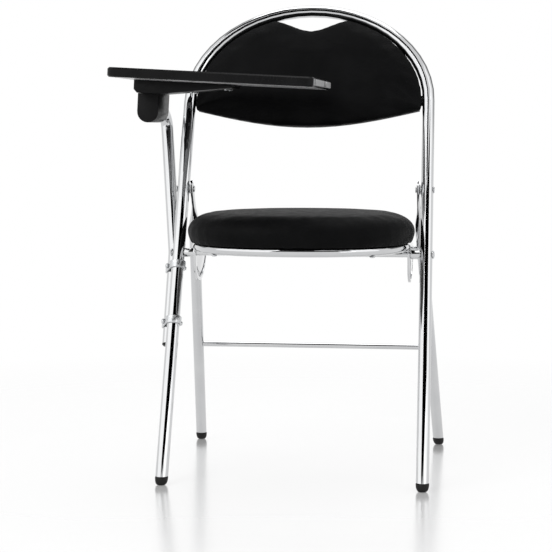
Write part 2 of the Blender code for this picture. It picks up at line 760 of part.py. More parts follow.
def make_back(root, fabric, plastic, chrome, steel):
    """The padded back in the arch, its board behind, and the lugs and screws that hold it."""
    plan = back_outline(0.0)
    centre_along = (BACK_CORNER + ARCH_START + ARCH_RISE * 0.55) / 2
    rear = BACK_PAD_REAR
    front = rear - BACK_PAD
    levels = [(share, rear - BACK_PAD * depth) for share, depth in BACK_PROFILE]
    levels += [(share, front - BACK_CROWN * height) for share, height in BACK_TOP_RINGS]
    rings = []
    for share, behind in levels:
        ring = []
        for x, along in plan:
            ring.append(frame_point(x * share, centre_along + (along - centre_along) * share, behind))
        rings.append(ring)
    make_cushion("back_pad", rings, root, fabric)
    axes = Matrix((Vector((1, 0, 0)), LEAN_UP, LEAN_BACK)).transposed().to_4x4()
    board_face = Matrix.Translation(LEAN_BACK * (rear + GAP)) @ axes
    board = prism(back_outline(BOARD_INSET), BOARD, board_face)
    make_object("back_board", board, plastic, root, smooth=False)
    seat = max(FRAME_R, rear + GAP + BOARD) + GAP
    for along, level in zip(LUG_LEVELS, ("lower", "upper")):
        for side, word in SIDES:
            outer = arch_x(along) + FRAME_R * 0.4
            inner = outer - LUG_REACH
            half = LUG_HEIGHT / 2
            corners = [(outer, along - half), (outer, along + half), (inner, along + half * 0.6)]
            corners += [(inner - half * 0.5, along), (inner, along - half * 0.6)]
            place = Matrix.Translation(LEAN_BACK * seat) @ axes
            lug = prism([(side * x, up) for x, up in corners], LUG, place)
            make_object(f"back_lug_{level}_{word}", lug, chrome, root, smooth=False)
            head = turn_to(frame_point(side * inner, along, seat + LUG + GAP), LEAN_BACK)
            screw = lathe(dome(BACK_SCREW_DIA, BACK_SCREW), RING_SIDES, head)
            make_object(f"back_screw_{level}_{word}", screw, steel, root)


def post_line(height):
    """The lower part of the tablet post: beside and behind the left front leg."""
    return frame_point(-POST_SIDE, along_at(height), POST_BEHIND)


def make_post(root, chrome, plastic):
    """The bent tube that carries the tablet, with a cap in its lower end."""
    low = post_line(POST_FOOT_HEIGHT)
    knee = post_line(POST_KNEE_HEIGHT)
    elbow = Vector((HINGE_X, ELBOW_Y, HINGE_Z))
    front = Vector((HINGE_X, HINGE_FRONT + HINGE_FACE + RUNNING, HINGE_Z))
    path = rounded_path([low, knee, elbow, front], (POST_KNEE, POST_ELBOW), BEND_STEPS)
    radius = POST_DIA / 2
    bm = tube_mesh(path, (radius, radius), POST_WALL)
    make_object("tablet_post", bm, chrome, root)
    down = (low - knee).normalized()
    stem = radius - POST_WALL - RUNNING
    profile = [(stem, -POST_DIA * 0.8), (stem, GAP), (radius, GAP)]
    profile += [(radius, POST_CAP * 0.5), (radius * 0.8, POST_CAP)]
    bm = lathe(profile, place=turn_to(low, down))
    make_object("post_cap", bm, plastic, root)


def make_clamps(root, chrome, steel):
    """Two strap clamps that hold the post to the left front leg, each with a cross bolt."""
    for height, word in zip(CLAMP_HEIGHTS, ("upper", "lower")):
        along = along_at(height)
        leg = (-leg_x(along), 0.0)
        post = (-POST_SIDE, POST_BEHIND)
        axes = Matrix((Vector((1, 0, 0)), LEAN_BACK, LEAN_UP)).transposed().to_4x4()
        place = Matrix.Translation(LEAN_UP * (along - CLAMP_WIDTH / 2)) @ axes
        past = Matrix.Translation(LEAN_UP * (along - CLAMP_WIDTH)) @ axes
        inner = max(FRAME_R, POST_DIA / 2) + GAP
        circles = [(*leg, inner + CLAMP_BAND), (*post, inner + CLAMP_BAND)]
        holes = [(*leg, inner), (*post, inner)]
        strap = prism(hull_outline(circles, 24), CLAMP_WIDTH, place)
        clamp = make_object("clamp_" + word, strap, chrome, root)
        cut(clamp, prism(hull_outline(holes, 24), 2 * CLAMP_WIDTH, past))
        middle = frame_point((leg[0] + post[0]) / 2, along, (leg[1] + post[1]) / 2)
        across = Vector((post[1] - leg[1], 0, 0)) - LEAN_BACK * (post[0] - leg[0])
        across.normalize()
        face = inner + CLAMP_BAND
        reach = across * (face + CLAMP_HEAD)
        cut(clamp, rod_cutter(middle - reach, middle + reach, CLAMP_BOLT_DIA + 2 * RUNNING, RING_SIDES))
        seat = face + GAP
        shank = CLAMP_BOLT_DIA / 2
        head = CLAMP_HEAD_DIA / 2
        profile = [(head * 0.7, -seat - CLAMP_HEAD), (head, -seat - CLAMP_HEAD * 0.6), (head, -seat)]
        profile += [(shank, -seat), (shank, seat), (head, seat), (head, seat + CLAMP_HEAD * 0.6)]
        profile += [(head * 0.6, seat + CLAMP_HEAD * 1.3)]
        bolt = lathe(profile, RING_SIDES, turn_to(middle, across))
        make_object("clamp_bolt_" + word, bolt, steel, root)


def rounded_rectangle(left, front, width, depth, radius, steps=6):
    """A rectangle with round corners, as (x, y) pairs."""
    points = []
    corners = ((width - radius, radius, -pi / 2), (width - radius, depth - radius, 0))
    corners += ((radius, depth - radius, pi / 2), (radius, radius, pi))
    for x, y, start in corners:
        for step in range(steps + 1):
            angle = start + pi / 2 * step / steps
            points.append((left + x + radius * cos(angle), front + y + radius * sin(angle)))
    return points


def make_tablet(tablet, board, plastic, steel):
    """The writing board, the arm under it and the hinge housing that turns on the post."""
    tilt = Matrix.Translation((HINGE_X, 0, HINGE_Z)) @ Matrix.Rotation(TABLET_SAG, 4, "Y")
    bm = bmesh.new()
    rings = []
    edge = TABLET_EDGE
    under = TABLET_UNDER
    top = under + TABLET
    for inset, height in ((edge, under), (0, under + edge), (0, top - edge), (edge, top)):
        plan = rounded_rectangle(TABLET_LEFT + inset, TABLET_FRONT + inset, TABLET_WIDTH - 2 * inset,
                                 TABLET_DEPTH - 2 * inset, TABLET_CORNER - inset)
        rings.append([bm.verts.new(tilt @ Vector((x, y, height))) for x, y in plan])
    for ring_a, ring_b in zip(rings, rings[1:]):
        bridge(bm, ring_a, ring_b)
    bm.faces.new(rings[0])
    bm.faces.new(rings[-1])
    make_object("tablet_board", bm, board, tablet)
    along_y = Matrix(((1, 0, 0, 0), (0, 0, 1, HINGE_FRONT), (0, 1, 0, 0), (0, 0, 0, 1)))
    high = under - GAP
    low = high - ARM_THICK
    left = -HINGE_HALF_WIDTH - ARM_OVERHANG
    profile = [(left, high), (left + ARM_LENGTH, high), (left + ARM_LENGTH, high - ARM_THIN)]
    profile += [(left + ARM_FLAT, low), (left + ARM_BREAK, low), (left, low + ARM_BREAK)]
    arm = prism(profile, HINGE_LENGTH, tilt @ along_y)
    make_object("tablet_arm", arm, plastic, tablet, smooth=False)
    outline = [(HINGE_HALF_WIDTH, low - GAP), (-HINGE_HALF_WIDTH, low - GAP)]
    steps = 12
    for step in range(steps + 1):
        angle = pi + pi * step / steps
        outline.append((HINGE_HALF_WIDTH * cos(angle), HINGE_HALF_WIDTH * sin(angle)))
    housing = make_object("hinge_housing", prism(outline, HINGE_LENGTH, tilt @ along_y), plastic, tablet)
    bore = Vector((HINGE_X, HINGE_FRONT + HINGE_FACE, HINGE_Z))
    past = Vector((HINGE_X, HINGE_FRONT + HINGE_LENGTH + HINGE_FACE, HINGE_Z))
    cut(housing, rod_cutter(bore, past, POST_DIA + 2 * RUNNING))
    spots = [(row, share) for row in TABLET_SCREW_ROWS for share in (0.25, 0.75)]
    slope = (ARM_THICK - ARM_THIN) / (ARM_LENGTH - ARM_FLAT)
    down = Vector((slope, 0, -1)).normalized()
    for number, (x, share) in enumerate(spots, 1):
        height = low + slope * (x - left - ARM_FLAT)
        spot = Vector((x, HINGE_FRONT + HINGE_LENGTH * share, height)) + down * GAP
        place = turn_to(tilt @ spot, tilt.to_3x3() @ down)
        screw = lathe(dome(TABLET_SCREW_DIA, TABLET_SCREW), RING_SIDES, place)
        make_object(f"tablet_screw_{number}", screw, steel, tablet)


def centre_footprint(root):
    """Move the root so that the whole chair stands centred on the origin."""
    bpy.context.view_layer.update()
    low = Vector((1e9, 1e9))
    high = -low
    for piece in bpy.data.objects:
        if piece.type != "MESH":
            continue
        for vert in piece.data.vertices:
            point = piece.matrix_world @ vert.co
            for axis in (0, 1):
                low[axis] = min(low[axis], point[axis])
                high[axis] = max(high[axis], point[axis])
    middle = (low + high) / 2
    root.location = (-middle.x, -middle.y, 0)
    bpy.context.view_layer.update()


def main():
    """Build every piece under the empties of its body."""
    clear_scene()
    chrome = make_material("chrome", (0.80, 0.81, 0.82), 0.08, 1.0)
    steel = make_material("zinc_steel", (0.62, 0.63, 0.65), 0.28, 1.0)
    fabric = make_material("black_upholstery", (0.016, 0.016, 0.017), 0.62)
    plastic = make_material("black_plastic", (0.018, 0.018, 0.019), 0.45)
    rubber = make_material("black_rubber", (0.022, 0.022, 0.022), 0.70)
    board = make_material("black_laminate", (0.020, 0.020, 0.021), 0.40)
    wood = make_material("plywood", (0.030, 0.026, 0.022), 0.60)
    root = make_empty("front_frame_root", (0, 0, 0))
    rear = make_empty("rear_legs_axis", LEG_PIVOT, root)
    seat = make_empty("seat_axis", AXLE, root)
    tablet = make_empty("tablet_axis", (HINGE_X, 0, HINGE_Z), root)
    make_front_frame(root, chrome)
    make_feet(root, rear, rubber)
    make_rear_legs(rear, chrome)
    make_stretcher(rear, chrome)
    make_leg_pivots(root, steel)
    make_seat_axle(root, chrome, steel)
    make_seat_metal(seat, chrome)
    make_slot_pins(rear, steel)
    make_seat_pad(seat, wood, fabric, steel)
    make_back(root, fabric, plastic, chrome, steel)
    make_post(root, chrome, plastic)
    make_clamps(root, chrome, steel)
    make_tablet(tablet, board, plastic, steel)
    centre_footprint(root)


main()
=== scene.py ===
"""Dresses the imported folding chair: chrome, upholstery, tablet, floor, light and camera."""
import json
from math import cos, pi, radians, sin

import bmesh
import bpy
import numpy as np
from mathutils import Matrix, Vector

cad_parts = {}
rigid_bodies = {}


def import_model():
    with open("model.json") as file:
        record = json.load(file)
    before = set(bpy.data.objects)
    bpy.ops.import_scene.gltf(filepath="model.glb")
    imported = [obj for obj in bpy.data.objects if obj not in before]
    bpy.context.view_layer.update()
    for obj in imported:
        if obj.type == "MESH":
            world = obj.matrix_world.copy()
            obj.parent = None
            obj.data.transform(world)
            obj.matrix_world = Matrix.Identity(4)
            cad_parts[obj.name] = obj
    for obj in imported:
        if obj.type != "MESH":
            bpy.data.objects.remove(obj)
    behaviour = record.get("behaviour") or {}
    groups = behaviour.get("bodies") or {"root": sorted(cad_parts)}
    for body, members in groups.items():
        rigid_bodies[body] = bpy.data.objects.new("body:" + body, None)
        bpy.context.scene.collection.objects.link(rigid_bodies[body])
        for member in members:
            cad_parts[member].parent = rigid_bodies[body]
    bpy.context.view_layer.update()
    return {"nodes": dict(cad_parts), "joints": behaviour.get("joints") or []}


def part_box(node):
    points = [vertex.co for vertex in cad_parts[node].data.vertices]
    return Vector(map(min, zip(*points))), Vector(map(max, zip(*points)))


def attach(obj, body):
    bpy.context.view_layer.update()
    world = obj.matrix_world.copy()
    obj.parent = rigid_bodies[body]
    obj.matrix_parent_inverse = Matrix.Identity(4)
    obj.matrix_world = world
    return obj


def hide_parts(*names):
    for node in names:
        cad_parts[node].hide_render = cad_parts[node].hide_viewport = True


# Lengths are in metres and angles in radians, except where a comment says otherwise

# Camera, from a fit to the photograph's key points; the lens and sensor are in millimetres
CAMERA_AT = (0.390625, -3.106081, 0.606110)
CAMERA_YAW = 0.13193
CAMERA_PITCH = 0.08450
CAMERA_LENS = 115.363
SENSOR = 36.0

# Rigid parts: welding of facets, rounding of hard edges, and where smooth shading breaks
WELD_REACH = 0.00002
EDGE_ROUND = 0.0006
EDGE_SEGMENTS = 2
BEVEL_ANGLE = radians(50)
SPLIT_ANGLE = radians(38)

# Both pads: the even mesh, the cloth and the smoothing
VOXEL = 0.0045
CLOTH_FRAMES = 20
CLOTH_PRESSURE = 4.0
CLOTH_STIFFNESS = 18.0
CLOTH_BENDING = 0.8
SMOOTH_FACTOR = 0.5
TINY = 1e-9

# Seat cushion: its start size, the height held still, the largest swell and the smoothing rounds
SEAT_START = (0.993, 0.993, 0.97)
SEAT_HELD = 0.010
SEAT_SWELL = 0.0025
SEAT_RELAX = 24
# how far its sides are drawn out, the rim left sharp, and room at foot and top
SEAT_BULGE = 0.012
RIM_KEPT = 0.007
FOOT_LIFT = 0.0002
TOP_SPARE = 0.002
# its clearance from the pan, and how far its edge hangs, growing over a span outside the pan
PAN_CLEAR = 0.0020
HANG = 0.0014
HANG_SPAN = (0.0035, 0.0065)

# Back pad: the panel's lean, shares taken off its depth and put on its outline, then as the seat
BACK_LEAN = radians(21.6)
BACK_FLATTEN = 0.12
BACK_WIDEN = 0.004
BACK_HELD = 0.007
BACK_SWELL = 0.004
BACK_RELAX = 6

# Tablet, as the source has it, and the grey plates on its right end, which paint light onto that
# end
TABLET_SAG = radians(3.0)
TABLET_UNDER = 0.054
TABLET_THICK = 0.016
TABLET_REACH = 0.303
LIT_END_OFF = 0.0003
LIT_END_THICK = 0.0016
LIT_END_EDGE = 0.0032
LIT_END_CORNER = 0.019
LIT_END_NOSE = 0.006
LIT_END_GAP = 0.030
LIT_END_BREAK = -0.085
LIT_END_STEPS = 6
LIT_END_ROUND = 0.0004

# Floor: its size, its place just below the feet, and its matt and polished shaders
FLOOR_SIZE = 80.0
FLOOR_HEIGHT = -0.0003
FLOOR_COLOUR = (0.92, 0.92, 0.92, 1.0)
MATT_ROUGHNESS = 0.9
POLISH_ROUGHNESS = 0.19
# shares of glow and polish near the chair, where they fade, and the slant that polish shows at
FLOOR_GLOW = 0.56
FLOOR_POLISH = 0.78
FLOOR_FADE = (0.55, 1.6)
FLOOR_GRAZING = (0.62, 0.85)

# Studio cards: name, azimuths from the front and elevations in degrees, brightness
CARD_REACH = 2.4
CARD_CENTRE = 0.45
CARD_COLUMNS = 12
CARD_ROWS = 8
CARDS = (
    ("left_softbox", (-84, -19), (4, 54), 1.50),
    ("front_flag", (-18, 54), (20, 42), 0.0),
    ("middle_flag", (-18, 14), (42.5, 58), 0.0),
    ("right_softbox", (55, 88), (4, 54), 1.55),
    ("high_flag", (-100, 6), (62, 80), 0.0),
    ("left_strip", (-146, -112), (14, 60), 0.30),
    ("right_strip", (112, 146), (14, 60), 0.24),
)

# Light: the world's level for matt surfaces, and lamps with watts, size and place
WHITE = (1.0, 1.0, 1.0, 1.0)
WORLD_LEVEL = 0.55
LAMP_AIM = (0.0, 0.0, 0.40)
LAMPS = (
    ("key", 46.0, 1.8, (-1.7, -2.2, 2.7)),
    ("fill", 20.0, 2.2, (2.4, -1.6, 1.8)),
    ("top", 26.0, 2.0, (0.0, 0.6, 3.0)),
)

# Materials: the usual spread of a noise value, the black of mouldings, a mix node's colour sockets
NOISE_SPAN = (0.3, 0.7)
MOULDING_BLACK = ((0.0035, 0.0035, 0.0038), (0.0065, 0.0065, 0.0068))
MIX_FIRST = 6
MIX_SECOND = 7
MIX_RESULT = 2
# how much of the plywood's tone comes from its layers and from its grain
PLY_SHARE = 0.45
GRAIN_SHARE = 0.55

# Which nodes are round bars, which are remade as pads, and which material the others take
ROUND_NODES = ("front_frame", "rear_leg_left", "rear_leg_right", "rear_stretcher", "seat_ring",
               "tablet_post", "seat_axle")
SOFT_NODES = ("seat_cushion", "back_pad")
NODE_KINDS = {
    "chrome": ROUND_NODES + ("seat_bush_left", "seat_bush_right", "seat_plate_left",
                             "seat_plate_right", "back_lug_upper_left", "back_lug_upper_right",
                             "back_lug_lower_left", "back_lug_lower_right"),
    "plastic": ("back_board", "tablet_arm", "hinge_housing", "post_cap"),
    "rubber": ("foot_front_left", "foot_front_right", "foot_rear_left", "foot_rear_right"),
    "laminate": ("tablet_board",),
    "plywood": ("seat_pan",),
}


def start_material(name):
    """A node material with its Principled shader and object coordinates."""
    material = bpy.data.materials.new(name)
    material.use_nodes = True
    tree = material.node_tree
    shader = tree.nodes["Principled BSDF"]
    coordinate = tree.nodes.new("ShaderNodeTexCoord")
    return material, tree, shader, coordinate.outputs["Object"]


def add_noise(tree, place, scale, detail, stretch=None):
    """A noise texture, drawn out along an axis where a stretch is given."""
    noise = tree.nodes.new("ShaderNodeTexNoise")
    noise.inputs["Scale"].default_value = scale
    noise.inputs["Detail"].default_value = detail
    if stretch:
        mapping = tree.nodes.new("ShaderNodeMapping")
        mapping.inputs["Scale"].default_value = stretch
        tree.links.new(place, mapping.inputs["Vector"])
        place = mapping.outputs["Vector"]
    tree.links.new(place, noise.inputs["Vector"])
    return noise.outputs["Fac"]


def add_cells(tree, place, scale, feature="F1"):
    """A cell texture for grain and pebble."""
    cells = tree.nodes.new("ShaderNodeTexVoronoi")
    cells.feature = feature
    cells.inputs["Scale"].default_value = scale
    tree.links.new(place, cells.inputs["Vector"])
    return cells.outputs["Distance"]


def add_ramp(tree, value, low, high, span=NOISE_SPAN):
    """A colour ramp from a low to a high colour over a span of the value."""
    ramp = tree.nodes.new("ShaderNodeValToRGB")
    for element, position, colour in zip(ramp.color_ramp.elements, span, (low, high)):
        element.position = position
        element.color = (*colour, 1.0)
    tree.links.new(value, ramp.inputs["Fac"])
    return ramp.outputs["Color"]


def add_range(tree, value, low, high, span=NOISE_SPAN):
    """Carry a span of a value to a range."""
    node = tree.nodes.new("ShaderNodeMapRange")
    node.inputs["From Min"].default_value = span[0]
    node.inputs["From Max"].default_value = span[1]
    node.inputs["To Min"].default_value = low
    node.inputs["To Max"].default_value = high
    tree.links.new(value, node.inputs["Value"])
    return node.outputs["Result"]


def add_math(tree, operation, first, second):
    """Join two values by a math node."""
    node = tree.nodes.new("ShaderNodeMath")
    node.operation = operation
    tree.links.new(first, node.inputs[0])
    tree.links.new(second, node.inputs[1])
    return node.outputs["Value"]


def add_bump(tree, shader, height, strength, distance, before=None):
    """A bump node on the shader's normal, after an earlier bump where one is given."""
    bump = tree.nodes.new("ShaderNodeBump")
    bump.inputs["Strength"].default_value = strength
    bump.inputs["Distance"].default_value = distance
    tree.links.new(height, bump.inputs["Height"])
    if before:
        tree.links.new(before, bump.inputs["Normal"])
    tree.links.new(bump.outputs["Normal"], shader.inputs["Normal"])
    return bump.outputs["Normal"]


def set_colour(tree, shader, value, low, high, span=NOISE_SPAN):
    """Let a value run the base colour from low to high."""
    tree.links.new(add_ramp(tree, value, low, high, span), shader.inputs["Base Color"])


def set_roughness(tree, shader, value, low, high):
    """Let a value run the roughness from low to high."""
    tree.links.new(add_range(tree, value, low, high), shader.inputs["Roughness"])


def make_chrome():
    """Bright plating: near mirror, with a little haze and handling marks."""
    material, tree, shader, place = start_material("chrome_plate")
    shader.inputs["Metallic"].default_value = 1.0
    tint = add_noise(tree, place, scale=9.0, detail=3.0)
    set_colour(tree, shader, tint, low=(0.565, 0.57, 0.58), high=(0.615, 0.62, 0.625),
               span=(0.35, 0.65))
    haze = add_noise(tree, place, scale=34.0, detail=2.0)
    set_roughness(tree, shader, haze, low=0.030, high=0.060)
    ripple = add_noise(tree, place, scale=26.0, detail=1.0)
    add_bump(tree, shader, ripple, strength=0.01, distance=0.0003)
    return material


def make_zinc():
    """Plain zinc on fasteners: soft grey with fine tumbling marks."""
    material, tree, shader, place = start_material("zinc_fastener")
    shader.inputs["Metallic"].default_value = 1.0
    tint = add_noise(tree, place, scale=160.0, detail=4.0)
    set_colour(tree, shader, tint, low=(0.50, 0.51, 0.52), high=(0.66, 0.67, 0.68))
    set_roughness(tree, shader, tint, low=0.22, high=0.40)
    marks = add_noise(tree, place, scale=900.0, detail=3.0)
    add_bump(tree, shader, marks, strength=0.12, distance=0.0002)
    return material


def make_upholstery():
    """Black imitation leather: fine grain, satin on the crowns."""
    material, tree, shader, place = start_material("black_leathercloth")
    tint = add_noise(tree, place, scale=24.0, detail=5.0)
    set_colour(tree, shader, tint, low=(0.0022, 0.0023, 0.0025), high=(0.0042, 0.0043, 0.0046))
    wear = add_noise(tree, place, scale=70.0, detail=5.0)
    set_roughness(tree, shader, wear, low=0.46, high=0.58)
    shader.inputs["Specular IOR Level"].default_value = 0.04
    cells = add_cells(tree, place, scale=620.0, feature="DISTANCE_TO_EDGE")
    grain = add_range(tree, cells, low=0.0, high=1.0, span=(0.0, 0.16))
    first = add_bump(tree, shader, grain, strength=0.22, distance=0.0003)
    pores = add_noise(tree, place, scale=1500.0, detail=3.0)
    add_bump(tree, shader, pores, strength=0.10, distance=0.0002, before=first)
    return material


def make_plastic():
    """Matt black moulding with a fine spark-eroded skin."""
    material, tree, shader, place = start_material("black_moulding")
    tint = add_noise(tree, place, scale=40.0, detail=4.0)
    set_colour(tree, shader, tint, *MOULDING_BLACK)
    sheen = add_noise(tree, place, scale=210.0, detail=5.0)
    set_roughness(tree, shader, sheen, low=0.30, high=0.42)
    shader.inputs["Specular IOR Level"].default_value = 0.12
    skin = add_noise(tree, place, scale=1900.0, detail=2.0)
    add_bump(tree, shader, skin, strength=0.12, distance=0.0002)
    return material


def make_lit_end_grey():
    """Grey moulded plastic with a fine grain, for the plates that paint light onto the tablet's
    right end.
    """
    material, tree, shader, place = start_material("painted_lit_end_grey")
    tint = add_noise(tree, place, scale=60.0, detail=4.0)
    set_colour(tree, shader, tint, low=(0.37, 0.37, 0.375), high=(0.45, 0.45, 0.455))
    sheen = add_noise(tree, place, scale=240.0, detail=4.0)
    set_roughness(tree, shader, sheen, low=0.38, high=0.50)
    grain = add_noise(tree, place, scale=1600.0, detail=2.0)
    add_bump(tree, shader, grain, strength=0.10, distance=0.0002)
    return material


def make_rubber():
    """Dull black rubber, a little dusty in patches."""
    material, tree, shader, place = start_material("black_foot_rubber")
    tint = add_noise(tree, place, scale=130.0, detail=5.0)
    set_colour(tree, shader, tint, low=(0.0045, 0.0045, 0.0046), high=(0.0105, 0.0102, 0.0100))
    set_roughness(tree, shader, tint, low=0.45, high=0.62)
    shader.inputs["Specular IOR Level"].default_value = 0.20
    grain = add_noise(tree, place, scale=1100.0, detail=3.0)
    add_bump(tree, shader, grain, strength=0.18, distance=0.0003)
    return material


def make_laminate():
    """The writing board: black pebbled skin, and a lighter grey painted onto the faces that point
    down and to the right, as painted light from the floor below and from the right side.
    """
    material, tree, shader, place = start_material("black_pebbled_board")
    tint = add_noise(tree, place, scale=30.0, detail=4.0)
    skin = add_ramp(tree, tint, *MOULDING_BLACK)
    # Painted light: faces that point down or to the right take this lighter grey, standing in for
    # the floor's bounce light and the light from the right
    painted_lit_grey = add_ramp(tree, tint, low=(0.280, 0.280, 0.285), high=(0.340, 0.340, 0.345))
    facing = tree.nodes.new("ShaderNodeSeparateXYZ")
    tree.links.new(place.node.outputs["Normal"], facing.inputs["Vector"])
    below = add_range(tree, facing.outputs["Z"], low=1.0, high=0.0, span=(-0.95, -0.85))
    end = add_range(tree, facing.outputs["X"], low=0.0, high=1.0, span=(0.90, 0.97))
    mix = tree.nodes.new("ShaderNodeMix")
    mix.data_type = "RGBA"
    tree.links.new(add_math(tree, "MAXIMUM", below, end), mix.inputs["Factor"])
    tree.links.new(skin, mix.inputs[MIX_FIRST])
    tree.links.new(painted_lit_grey, mix.inputs[MIX_SECOND])
    tree.links.new(mix.outputs[MIX_RESULT], shader.inputs["Base Color"])
    sheen = add_noise(tree, place, scale=300.0, detail=4.0)
    set_roughness(tree, shader, sheen, low=0.20, high=0.30)
    shader.inputs["Specular IOR Level"].default_value = 0.10
    pebble = add_cells(tree, place, scale=900.0)
    add_bump(tree, shader, pebble, strength=0.08, distance=0.0002)
    return material


def make_plywood():
    """The seat pan: black-stained ply, thin layers at the edge, faint grain on the face."""
    material, tree, shader, place = start_material("seat_plywood")
    plies = tree.nodes.new("ShaderNodeTexWave")
    plies.bands_direction = "Z"
    plies.inputs["Scale"].default_value = 220.0
    plies.inputs["Distortion"].default_value = 0.6
    tree.links.new(place, plies.inputs["Vector"])
    grain = add_noise(tree, place, scale=30.0, detail=6.0, stretch=(1.0, 9.0, 1.0))
    mix = tree.nodes.new("ShaderNodeMath")
    mix.operation = "MULTIPLY_ADD"
    mix.inputs[1].default_value = PLY_SHARE
    tree.links.new(plies.outputs["Fac"], mix.inputs[0])
    tree.links.new(add_range(tree, grain, low=0.0, high=GRAIN_SHARE), mix.inputs[2])
    set_colour(tree, shader, mix.outputs["Value"], low=(0.0045, 0.0042, 0.0038),
               high=(0.0170, 0.0150, 0.0130), span=(0.1, 0.9))
    set_roughness(tree, shader, grain, low=0.52, high=0.68)
    add_bump(tree, shader, grain, strength=0.12, distance=0.0004)
    return material


def dress(piece, material):
    """Give an object one material in its first slot."""
    piece.data.materials.clear()
    piece.data.materials.append(material)


def link_mesh(name, mesh):
    """A new object in the scene with the given mesh."""
    piece = bpy.data.objects.new(name, mesh)
    bpy.context.scene.collection.objects.link(piece)
    return piece


def mesh_from(work, name):
    """A new mesh from finished edit data, which is freed."""
    mesh = bpy.data.meshes.new(name)
    work.to_mesh(mesh)
    work.free()
    return mesh


def make_smooth_group():
    """A node group that shades a mesh smooth, so the mesh itself stays as it is."""
    group = bpy.data.node_groups.new("smooth_shading", "GeometryNodeTree")
    for side in ("INPUT", "OUTPUT"):
        group.interface.new_socket("Geometry", in_out=side, socket_type="NodeSocketGeometry")
    start = group.nodes.new("NodeGroupInput")
    smooth = group.nodes.new("GeometryNodeSetMeshNormal")
    smooth.mode = "SHARPNESS"
    end = group.nodes.new("NodeGroupOutput")
    group.links.new(start.outputs[0], smooth.inputs["Mesh"])
    group.links.new(smooth.outputs["Mesh"], end.inputs[0])
    return group


def smooth_rigid(piece, name, group):
    """Weld a rigid node's facets and round its hard edges a little, by modifiers alone."""
    shading = piece.modifiers.new("smooth", "NODES")
    shading.node_group = group
    weld = piece.modifiers.new("weld", "WELD")
    weld.merge_threshold = WELD_REACH
    if name not in ROUND_NODES:
        bevel = piece.modifiers.new("edges", "BEVEL")
        bevel.width = EDGE_ROUND
        bevel.segments = EDGE_SEGMENTS
        bevel.limit_method = "ANGLE"
        bevel.angle_limit = BEVEL_ANGLE
        bevel.use_clamp_overlap = True
    split = piece.modifiers.new("split", "EDGE_SPLIT")
    split.split_angle = SPLIT_ANGLE
    split.use_edge_sharp = False


def kind_of(name):
    """The material a rigid node takes. Fasteners and clamps, which aren't listed, are zinc."""
    for kind, names in NODE_KINDS.items():
        if name in names:
            return kind
    return "zinc"


def dress_nodes(frame, materials):
    """Give every rigid CAD node its material and soft edges."""
    group = make_smooth_group()
    for name, piece in frame["nodes"].items():
        if name not in SOFT_NODES:
            dress(piece, materials[kind_of(name)])
            smooth_rigid(piece, name, group)


def copy_welded(frame, node, name):
    """A new object with a node's mesh, its facets welded."""
    work = bmesh.new()
    work.from_mesh(frame["nodes"][node].data)
    bmesh.ops.remove_doubles(work, verts=work.verts, dist=WELD_REACH)
    bmesh.ops.recalc_face_normals(work, faces=work.faces)
    return link_mesh(name, mesh_from(work, name))


def points_of(mesh):
    """A mesh's points as an array."""
    flat = np.zeros(len(mesh.vertices) * 3)
    mesh.vertices.foreach_get("co", flat)
    return flat.reshape(-1, 3)


def set_points(mesh, points):
    """Write an array of points back to a mesh."""
    mesh.vertices.foreach_set("co", points.reshape(-1))
    mesh.update()


def add_group(piece, name, chosen):
    """A vertex group of the chosen points."""
    group = piece.vertex_groups.new(name=name)
    group.add([int(index) for index in np.nonzero(chosen)[0]], 1.0, "REPLACE")


def evaluated_mesh(piece):
    """The piece's mesh as its modifiers leave it."""
    graph = bpy.context.evaluated_depsgraph_get()
    return bpy.data.meshes.new_from_object(piece.evaluated_get(graph))


def keep_modified(piece):
    """Keep the mesh that the piece's modifiers leave, and drop the modifiers."""
    mesh = evaluated_mesh(piece)
    piece.modifiers.clear()
    piece.data = mesh


def remesh(piece):
    """Even out a piece's faces for the cloth."""
    voxels = piece.modifiers.new("voxels", "REMESH")
    voxels.mode = "VOXEL"
    voxels.voxel_size = VOXEL
    keep_modified(piece)


def inflate(piece, held, cap):
    """Blow a pad up as cloth, with some points held, and cap how far a point moves."""
    add_group(piece, "held", held)
    before = points_of(piece.data)
    cloth = piece.modifiers.new("cloth", "CLOTH")
    settings = cloth.settings
    settings.use_pressure = True
    settings.uniform_pressure_force = CLOTH_PRESSURE
    settings.vertex_group_mass = "held"
    settings.effector_weights.gravity = 0.0
    settings.tension_stiffness = CLOTH_STIFFNESS
    settings.compression_stiffness = CLOTH_STIFFNESS
    settings.bending_stiffness = CLOTH_BENDING
    cloth.point_cache.frame_start = 1
    cloth.point_cache.frame_end = CLOTH_FRAMES
    scene = bpy.context.scene
    for number in range(1, CLOTH_FRAMES + 1):
        scene.frame_set(number)
    after = points_of(evaluated_mesh(piece))
    scene.frame_set(1)
    piece.modifiers.clear()
    move = after - before
    length = np.linalg.norm(move, axis=1, keepdims=True)
    scale = np.minimum(1.0, cap / np.maximum(length, TINY))
    set_points(piece.data, before + move * scale)


def relax(piece, rounds, free=None):
    """Even out small steps that the voxels leave, on the free points where some are given."""
    soften = piece.modifiers.new("soften", "SMOOTH")
    soften.factor = SMOOTH_FACTOR
    soften.iterations = rounds
    if free is not None:
        add_group(piece, "free", free)
        soften.vertex_group = "free"
    keep_modified(piece)


def refine(piece):
    """Subdivide a pad once and keep the finer mesh."""
    finer = piece.modifiers.new("finer", "SUBSURF")
    finer.levels = 1
    finer.render_levels = 1
    keep_modified(piece)


def finish_pad(piece, body, node, material):
    """Shade a pad and tie it to its body."""
    piece.data.shade_smooth()
    dress(piece, material)
    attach(piece, body)
    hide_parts(node)


def pan_rim(pan, points, centre):
    """Seen from above: points from the seat's centre, their reach, and the pan's on that side."""
    spread = pan[:, :2] - centre[:2]
    turn = np.arctan2(spread[:, 1], spread[:, 0])
    order = np.argsort(turn)
    edge = np.linalg.norm(spread, axis=1)[order]
    flat = points[:, :2] - centre[:2]
    side = np.arctan2(flat[:, 1], flat[:, 0])
    rim = np.interp(side, turn[order], edge, period=2 * pi)
    return flat, np.linalg.norm(flat, axis=1), rim


